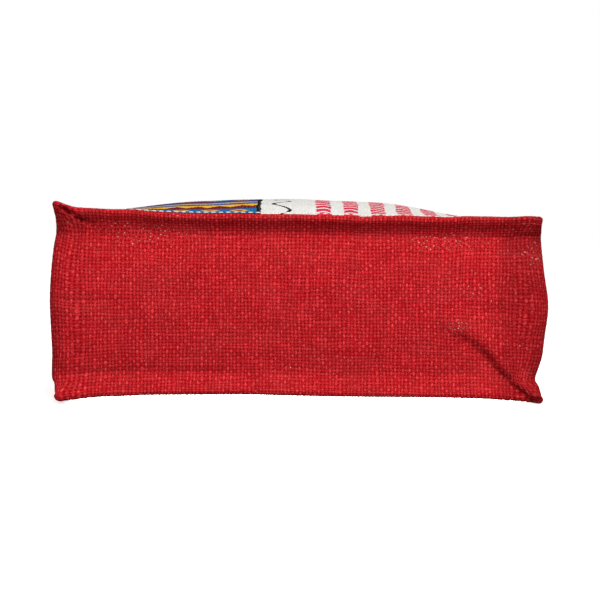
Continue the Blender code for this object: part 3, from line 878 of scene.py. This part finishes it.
class Recipe:
    """The nodes of one material."""

    def __init__(self, name, roughness):
        self.material = bpy.data.materials.new(name)
        self.material.use_nodes = True
        self.tree = self.material.node_tree
        self.shader = self.tree.nodes["Principled BSDF"]
        self.finish({"Roughness": roughness, "Specular IOR Level": 0.0})

    def finish(self, inputs):
        """Set inputs of the shader, or link them to values."""
        self.feed(self.shader, inputs)
        return self.material

    def feed(self, node, inputs):
        """Link inputs of a node to values, or set them."""
        for key, value in inputs.items():
            if isinstance(value, Value):
                self.tree.links.new(value.socket, node.inputs[key])
            else:
                node.inputs[key].default_value = value

    def node(self, kind, inputs, output=0, **settings):
        """What a node with some inputs and settings works out."""
        node = self.tree.nodes.new("ShaderNode" + kind)
        for key, value in settings.items():
            setattr(node, key, value)
        self.feed(node, inputs)
        return Value(self, node.outputs[output])

    def mix(self, share, first, second):
        """Two colours mixed."""
        return self.node("Mix", {0: share, 6: first, 7: second}, 2, data_type="RGBA")

    def place(self, x, y, z=0.0):
        """A vector of three numbers."""
        return self.node("CombineXYZ", {"X": x, "Y": y, "Z": z})

    def noise(self, x, y, layer=0.0, detail=2.0):
        """Soft noise from about 0.3 to 0.7, one unit wide."""
        inputs = {"Vector": self.place(x, y, layer), "Scale": 1.0, "Detail": detail}
        return self.node("TexNoise", inputs)

    def dice(self, x, y=0.0):
        """An even number from 0 to 1 for each whole place."""
        return self.node("TexWhiteNoise", {"Vector": self.place(x, y)})


class Woven(Recipe):
    """The nodes of a woven material, which reads the thread counts of its UV map."""

    def __init__(self, name, roughness, width=1.0):
        super().__init__(name, roughness)
        uv = self.node("UVMap", {}, uv_map="threads")
        along, across = (self.node("SeparateXYZ", {0: uv}, axis) for axis in (0, 1))
        self.along, self.across = along, across
        self.column, self.row = along.whole(), across.whole()
        self.off_along, self.off_across = along.fraction() - 0.5, across.fraction() - 0.5
        passing = 1.0 - (self.column + self.row) % 2.0 * 2.0

        def rounded(off, chance, thick):
            # Each thread is thicker and thinner along its length.
            flat = off * 2.0 / chance.ramp(NOISE_SPAN, thick[0] * width, thick[1] * width)
            return (1.0 - flat * flat).at_least(0.0).root()

        def waved(off, sign):
            return (off * math.pi).cosine() * sign * CRIMP

        chance = self.noise(self.column * YARN_APART, across * YARN_RUN)
        standing_round = rounded(self.off_along, chance, STANDING_THICK)
        chance = self.noise(along * YARN_RUN, self.row * YARN_APART, layer=5.0)
        lying_round = rounded(self.off_across, chance, LYING_THICK)
        standing = standing_round + STANDING_LEAD + waved(self.off_across, passing)
        lying = lying_round + waved(self.off_along, passing * -1.0)
        self.on_standing = (standing - lying).ramp(CROSSING)
        self.height = standing.at_least(lying)
        self.filled = standing_round.at_least(lying_round).ramp(FILLED)
        # Fine streaks run along whichever thread is on top.
        standing = self.noise(along * FIBRES_ABREAST, across * FIBRES_RUN, layer=3.0, detail=3.0)
        lying = self.noise(along * FIBRES_RUN, across * FIBRES_ABREAST, layer=8.0, detail=3.0)
        self.streaks = self.on_top(standing, lying).ramp(FIBRE_SPAN)

    def on_top(self, standing, lying):
        """A standing thread's number where that is on top, and a lying one's elsewhere."""
        return (standing - lying) * self.on_standing + lying

    def tones(self, spread):
        """How light each thread is, about 1, from thread to thread and along it."""
        standing = self.noise(self.column * TONES_APART, self.across * TONES_RUN, layer=11.0)
        lying = self.noise(self.along * TONES_RUN, self.row * TONES_APART, layer=17.0)
        return self.on_top(standing, lying).ramp(NOISE_SPAN, 1.0 - spread, 1.0 + spread)

    def finish_cloth(self, colour, bump):
        """The material of a colour and of the relief of the threads."""
        relief = self.streaks * FIBRE_RELIEF + self.height
        raised = self.node("Bump", {"Height": relief, "Strength": 1.0, "Distance": bump * MM})
        return self.finish({"Base Color": colour, "Normal": raised})


def pale_specks(cloth):
    """1 in the pinholes of worn places, where the pale backing of the burlap shows."""
    places = (cloth.along, cloth.across)
    corners = [(place + 0.5).whole() for place in places]
    radius = 0.0
    for axis, place in enumerate(places):
        aside = (cloth.dice(corners[0] + (7.0 + axis), corners[1]) - 0.5) * SPECK_ASIDE
        off = place - corners[axis] - aside
        radius = off * off + radius
    worn = 0.0
    for spot in WORN_SPOTS:
        along = (cloth.along - spot.along) / spot.reach_along
        across = (cloth.across - spot.across) / spot.reach_across
        out = along * along + across * across
        worn = out.ramp(WORN_EDGE, spot.share, 0.0).at_least(worn)
    open_hole = cloth.dice(*corners) < worn + STRAY_SPECKS
    chance = cloth.dice(corners[1], corners[0])
    paleness = chance * chance * SPECK_MORE + SPECK_FAINT
    return open_hole * paleness * radius.ramp(SPECK_EDGE, 1.0, 0.0)


def red_jute():
    """Dyed jute: bright standing floats, darker lying ones, with a painted highlight along
    the crown and middle line of each float and painted shade on its flanks, paler loose
    fibres on both, holes painted dark as shade or showing a pale speck of the backing,
    and painted shade towards the right end of the base."""
    cloth = Woven("red_jute", 0.85)
    along, across = cloth.along, cloth.across
    lit = cloth.streaks.ramp(ALL, *FIBRE_LIGHT)
    lit = lit * cloth.dice(cloth.column, cloth.row).ramp(FLOAT_DICE, *FLOAT_LIGHT)
    # Painted highlight: a float is lighter towards its crown and its middle line, and darker as
    # painted shade on its flanks.
    crown = cloth.on_standing * -STANDING_LEAD + cloth.height
    off = abs(cloth.on_top(cloth.off_along, cloth.off_across))
    top = crown.ramp(HIGHLIGHT_HEIGHTS) * off.ramp(OFF_CREST, *CREST_HIGHLIGHT) * lit
    colour = cloth.mix(cloth.on_standing, cloth.mix(top, RED_LYING_PAINTED_SHADE, RED_LYING_HIGHLIGHT),
                       cloth.mix(top, RED_LYING_PAINTED_SHADE, RED_STANDING_HIGHLIGHT))
    # Painted shade darkens the stretch towards the right end of the base.
    painted_shade = along.ramp(PAINTED_SHADE_START) * along.ramp(PAINTED_SHADE_END, 1.0, 0.0)
    colour = colour.toned(cloth.tones(RED_TONES)).toned(painted_shade.ramp(ALL, 1.0, PAINTED_SHADE_TONE))
    dusty = cloth.noise(along * 0.09, across * 0.12, layer=31.0)
    loose = cloth.noise(along * 2.3, across * 1.7, layer=37.0, detail=3.0)
    pale = dusty.ramp(DUST_SPAN, 0.0, DUST) + loose.ramp(LOOSE_SPAN, 0.0, LOOSE_FIBRES)
    colour = cloth.mix(pale, colour, RED_SPECK)
    # Painted shade between the threads, where they part.
    colour = cloth.mix(cloth.filled, RED_PAINTED_HOLE_SHADE, colour)
    colour = cloth.mix(pale_specks(cloth), colour, RED_SPECK)
    return cloth.finish_cloth(colour, bump=0.18)


def off_white_jute():
    """Bleached jute without a print."""
    cloth = Woven("off_white_jute", 0.85)
    colour = cloth.mix(cloth.streaks, OFF_WHITE_SHADE, OFF_WHITE)
    # Painted shade between the threads, where they part.
    return cloth.finish_cloth(cloth.mix(cloth.filled, OFF_WHITE_PAINTED_HOLE_SHADE, colour), bump=0.18)


def sewing_thread(name, light, dark):
    """Twisted sewing thread."""
    recipe = Recipe(name, 0.7)
    place = recipe.node("TexCoord", {}, "Object")
    twist = recipe.node("TexNoise", {"Vector": place, "Scale": 1800.0, "Detail": 1.0})
    return recipe.finish({"Base Color": recipe.mix(twist.ramp((0.35, 0.65)), dark, light)})


def banded_block(cloth, x, y, ground):
    """Bands across a block: blue with diamonds, plain dark red, yellow with triangles."""
    colour = ground
    row = y % BAND_REPEAT
    for end, ink in reversed(BANDS):
        colour = cloth.mix(row < end, colour, ink)
    out = x.to_and_fro(DIAMOND_PITCH / 2) + abs(row - BLUE_MIDDLE)
    for reach, ink in DIAMONDS:
        colour = cloth.mix(out < reach, colour, ink)
    rise = row - YELLOW_BAND[0] - x.to_and_fro(TRIANGLE_PITCH / 2) * TRIANGLE_SLOPE
    return cloth.mix(row.within(*YELLOW_BAND) * (rise < 0.0), colour, PRINT_DARK_RED)


def column_block(cloth, x, y, ground):
    """Upright rows of red chevrons on the plain cloth."""
    from_middle = abs((x - COLUMN_START) % COLUMN_PITCH - COLUMN_PITCH / 2)
    climb = (y + from_middle) % CHEVRON_PITCH
    inked = (from_middle < COLUMN_WIDTH / 2) * (climb < CHEVRON_PITCH * CHEVRON_INKED)
    return cloth.mix(inked, ground, PRINT_RED)


def inside_blocks(x, y):
    """How far a place lies inside the nearest block, whose corners are rounded."""
    squares = []
    for value, ranges in ((x, BLOCKS_X), (y, BLOCKS_Y)):
        first, second = ((value - low).at_most(high - value) for low, high in ranges)
        lack = (BLOCK_CORNER - first.at_least(second)).at_least(0.0)
        squares.append(lack * lack)
    return BLOCK_CORNER - (squares[0] + squares[1]).root()


def printed_jute():
    """Bleached jute printed with four blocks: two banded, two of chevron columns."""
    cloth = Woven("printed_jute", 0.85)
    ground = cloth.mix(cloth.streaks, OFF_WHITE_SHADE, OFF_WHITE)
    x, y = (place + (cloth.noise(cloth.along, cloth.across, layer) - 0.5) * INK_RAG
            for place, layer in ((cloth.along, 41.0), (cloth.across, 47.0)))
    depth = inside_blocks(x, y)
    bands = cloth.mix(depth > BORDER, PRINT_BLACK, banded_block(cloth, x, y, ground))
    banded = abs((x > BLOCK_SPLIT_X) - (y > BLOCK_SPLIT_Y)) < 0.5
    printed = cloth.mix(banded, column_block(cloth, x, y, ground), bands)
    colour = cloth.mix(depth > 0.0, ground, printed)
    off_vine = abs(x - BLOCK_SPLIT_X - (y * VINE_TURN).sine() * VINE_REACH)
    vine = (off_vine < VINE_HALF) * y.within(PRINT_START, PRINT_END)
    colour = cloth.mix(vine, colour, PRINT_BLACK).toned(cloth.tones(PRINT_TONES))
    # Painted shade between the threads, where they part.
    colour = cloth.mix(cloth.filled.ramp(ALL, 0.45, 0.0), colour, OFF_WHITE_PAINTED_HOLE_SHADE)
    return cloth.finish_cloth(colour, bump=0.10)


def red_webbing():
    """Close-woven tape."""
    cloth = Woven("red_webbing", 0.8, WEBBING_WIDTH)
    # Standing threads take the painted highlight red and lying threads the painted shade red.
    colour = cloth.mix(cloth.on_standing, RED_LYING_PAINTED_SHADE, RED_STANDING_HIGHLIGHT)
    colour = cloth.mix(cloth.streaks * WEBBING_FIBRES, colour, RED_FIBRE)
    # Painted shade between the threads, where they part.
    return cloth.finish_cloth(cloth.mix(cloth.filled, RED_PAINTED_HOLE_SHADE, colour), bump=0.2)


# ---- stage and light
WHITE = (1.0, 1.0, 1.0, 1.0)
FLOOR_SIZE = 4.0
FLOOR_COLOUR = (0.93, 0.93, 0.93, 1.0)
FLOOR_GLOW = 0.66        # the floor gives off this much light, so it stays white in shade
SURROUND_LIGHT = 0.48
LOOK_AT = (0.0006, -0.150, 0.0651)
CAMERA_DISTANCE = 1.55
CAMERA_RISE = math.radians(2.5)


def lay_floor():
    """A plain pale floor that reaches past every view."""
    cut = bmesh.new()
    bmesh.ops.create_grid(cut, x_segments=1, y_segments=1, size=FLOOR_SIZE)
    floor = put("floor", mesh_from("floor", cut))
    floor.data.materials.append(Recipe("floor", 0.9).finish({
        "Base Color": FLOOR_COLOUR, "Emission Color": WHITE, "Emission Strength": FLOOR_GLOW}))
    floor.visible_diffuse = False


def add_light(name, place, size, power):
    """A soft square light that faces the bag."""
    light = put(name, bpy.data.lights.new(name, "AREA"))
    light.data.size = size
    light.data.energy = power
    light.location = place
    light.rotation_euler = (Vector(LOOK_AT) - light.location).to_track_quat("-Z", "Y").to_euler()
    return light


def set_camera():
    """A long lens a little above the bag, square to its base."""
    camera = put("camera", bpy.data.cameras.new("camera"))
    camera.data.lens = 150.0
    camera.data.sensor_width = 36.0
    camera.location = (LOOK_AT[0], LOOK_AT[1] - CAMERA_DISTANCE * math.cos(CAMERA_RISE),
                       LOOK_AT[2] + CAMERA_DISTANCE * math.sin(CAMERA_RISE))
    camera.rotation_euler = (math.pi / 2 - CAMERA_RISE, 0.0, 0.0)
    bpy.context.scene.camera = camera


def set_light():
    """A white surround that lights the bag a little, and a large soft light in front."""
    world = bpy.data.worlds.new("surround")
    world.use_nodes = True
    nodes, links = world.node_tree.nodes, world.node_tree.links
    lighting, white = nodes["Background"], nodes.new("ShaderNodeBackground")
    lighting.inputs["Color"].default_value = WHITE
    lighting.inputs["Strength"].default_value = SURROUND_LIGHT
    white.inputs["Color"].default_value = WHITE
    seen = nodes.new("ShaderNodeMixShader")
    links.new(nodes.new("ShaderNodeLightPath").outputs["Is Camera Ray"], seen.inputs[0])
    links.new(lighting.outputs[0], seen.inputs[1])
    links.new(white.outputs[0], seen.inputs[2])
    links.new(seen.outputs[0], nodes["World Output"].inputs["Surface"])
    bpy.context.scene.world = world
    add_light("key", place=(0.30, -1.32, 1.00), size=0.7, power=31.0)
    bpy.context.scene.view_settings.view_transform = "Standard"


def set_low_light():
    """A low strip of light for the pale cloth under the lifted seam, and for that alone."""
    low = add_light("low", place=(0.0, -0.65, 0.012), size=0.5, power=24.0)
    low.rotation_euler = (math.pi / 2, 0.0, 0.0)
    low.data.shape = "RECTANGLE"
    low.data.size_y = 0.02
    lit = bpy.data.collections.new("lit_from_below")
    for piece in ("back_panel_cloth", "back_panel_stitches"):
        lit.objects.link(bpy.data.objects[piece])
    low.light_linking.receiver_collection = lit


# ---- the pieces
STITCH_OUT = THREAD / 6      # the middle of a stitch stands outside the cloth by this
STITCH_IN = THREAD / 4
SEAM_END = 1.0               # the side seams stop this far from the mouth
HEM_LINE = 3.0               # from the turned-in edge of a hem to its stitches
HEM_LINE_END = 2.0           # these stop this far inside the ends of the hem
STRAP_LINE = 2.5             # from the edges of a strap to its stitches
STRAP_MOUTH_LINE = 3.0       # from the mouth to the box of stitches
SIDE_TURN = 4.5              # way round the fold at the mouth of a side


def dress(cloth, finishes, node):
    """Give a cloth its finishes, attach it to the root body and hide the part that it stands for.
    """
    for finish in finishes:
        cloth.data.materials.append(finish)
    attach(cloth, "root")
    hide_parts(node)


def make_strip_part(name, first, last, samples_along, material):
    """One length of the gusset strip."""
    cloth = cut_cloth(first, last, STRIP_THREADS, strip_keeps)
    part_threads(cloth, FACE, samples_along, 3)
    part = lay_cloth(name, cloth, lay_strip, plain_weave(BURLAP.relief), level(-CLOTH))
    dress(part, [material], "gusset")


def make_panel(side, face, way, finishes):
    """One of the two panels, its first finish on its face and its last one inside. Its way
    is -1 where it lies with its face down."""
    cloth = cut_cloth(-PANEL_THREADS // 2, PANEL_THREADS // 2, PANEL_ROWS, panel_keeps)
    part_threads(cloth, FACE, 2, 2)
    for piece in cloth.faces:
        piece.material_index = 0 if lies_on(FACE, piece) else len(finishes) - 1

    def lie(u, v):
        return face(*panel_places(way * u, v))

    panel = lay_cloth(side + "_panel_cloth", cloth, lie, plain_weave(PANEL_WEAVE.relief),
                      level(-CLOTH))
    dress(panel, finishes, side + "_panel")


def sew_panel(side, face, thread):
    """The stitches that hold a panel to the gusset and its hem to itself."""
    x = PANEL_HALF - SEAM_LINE
    low, high = PANEL_START + SEAM_LINE, MOUTH_Y - SEAM_END
    seam = [((-x, high), (-x, low)), ((-x, low), (x, low)), ((x, low), (x, high))]
    hem_x, hem_y = HALF_WIDTH - HEM_END - HEM_LINE_END, MOUTH_Y - HEM_WIDTH + HEM_LINE
    hem = [((-hem_x, hem_y), (hem_x, hem_y))]
    stitches = [sewing_lines(face, -STITCH_OUT, seam + hem),
                sewing_lines(face, 2 * FOLD_RADIUS + STITCH_IN, hem)]
    sew(side + "_panel_stitches", np.concatenate(stitches), thread)


def sew_handle(side, face, thread):
    """The box and cross of stitches at both ends of a handle, outside and inside."""
    lines = []
    for middle in (-STRAP_SPACING / 2, STRAP_SPACING / 2):
        lines += box_and_cross(middle, MOUTH_Y - SEWN_LENGTH + STRAP_LINE,
                               MOUTH_Y - STRAP_MOUTH_LINE, STRAP_WIDTH / 2 - STRAP_LINE)
    inside = 2 * CLOTH + HANDLE_AIR + STRAP_THICKNESS + STITCH_IN
    stitches = [sewing_lines(face, inward, lines) for inward in (-STITCH_OUT, inside)]
    sew(side + "_handle_stitches", np.concatenate(stitches), thread)


def sew_gusset(thread):
    """The stitches that hold the turned-in ends of the gusset, outside and inside."""
    low, high = OPEN_ROWS[0] + 1.0, OPEN_ROWS[1] - 1.0
    across = blend(low, high, stitch_shares(round((high - low) * BURLAP.across / STITCH_PITCH)))
    from_fold = HEM_WIDTH - HEM_LINE - FOLD_RADIUS
    stitches = []
    for along in (FOLD_START - from_fold, FOLD_START + math.pi * FOLD_RADIUS + from_fold):
        for side in (-1.0, 1.0):
            line = lay_strip(np.array([side * along / BURLAP.along]), across)
            stitches.append(line[:, 0].reshape(-1, 2, 3))
    sew("gusset_hem_stitches", np.concatenate(stitches), thread)


def make_handle(node, carried, top, material):
    """A strap of close-woven tape, sewn on at both ends and turned on edge at its top."""
    half = STRAP_WIDTH / 2
    stations = strap_stations(carried, top, np.array([-half, half]))
    places = ways_along(stations.mean(axis=1))
    rows = CELL * round(places[-1] / WEBBING_WEAVE.across / CELL)
    columns = CELL * round(STRAP_WIDTH / WEBBING_WEAVE.along / CELL)

    def lie(u, v):
        edges = smooth(places, stations, v * places[-1] / rows)
        share = (u / columns + 0.5)[None, :, None]
        return blend(edges[:, None, 0], edges[:, None, 1], share)

    def stand_out(along, across):
        selvedge = np.abs(2.0 * along / columns) ** SELVEDGE_POWER
        woven = plain_weave(WEBBING_WEAVE.relief)(along, across)
        return STRAP_THICKNESS / 2 + woven - SELVEDGE_DROP * selvedge

    def stand_back(along, across):
        return -stand_out(along, across)

    cloth = cut_cloth(-columns // 2, columns // 2, rows)
    for side in (FACE, BACK):
        part_threads(cloth, side, 2, 2)
    strap = lay_cloth(node + "_strap", cloth, lie, stand_out, stand_back)
    dress(strap, [material], node)


def main():
    """Dress the bag."""
    set_camera()
    set_light()
    lay_floor()
    red, white, printed = red_jute(), off_white_jute(), printed_jute()
    white_thread = sewing_thread("white_thread", THREAD_WHITE, THREAD_WHITE_SHADE)
    red_thread = sewing_thread("red_thread", THREAD_RED, THREAD_RED_SHADE)
    webbing = red_webbing()

    side_end = CELL * round((FOLD_START + SIDE_TURN + HEM_WIDTH) / BURLAP.along / CELL)
    make_strip_part("gusset_base", -STRIP_SPLIT, STRIP_SPLIT, 3, red)
    make_strip_part("gusset_left", -side_end, -STRIP_SPLIT, 2, red)
    make_strip_part("gusset_right", STRIP_SPLIT, side_end, 2, red)
    make_panel("front", front_face, 1.0, [printed, white])
    make_panel("back", back_face, -1.0, [white])
    make_handle("front_handle", under_front, FRONT_HANDLE_TOP, webbing)
    make_handle("back_handle", over_back, BACK_HANDLE_TOP, webbing)
    for sew_on, thread in ((sew_panel, white_thread), (sew_handle, red_thread)):
        sew_on("front", front_face, thread)
        sew_on("back", back_face, thread)
    sew_gusset(red_thread)

    set_low_light()


main()
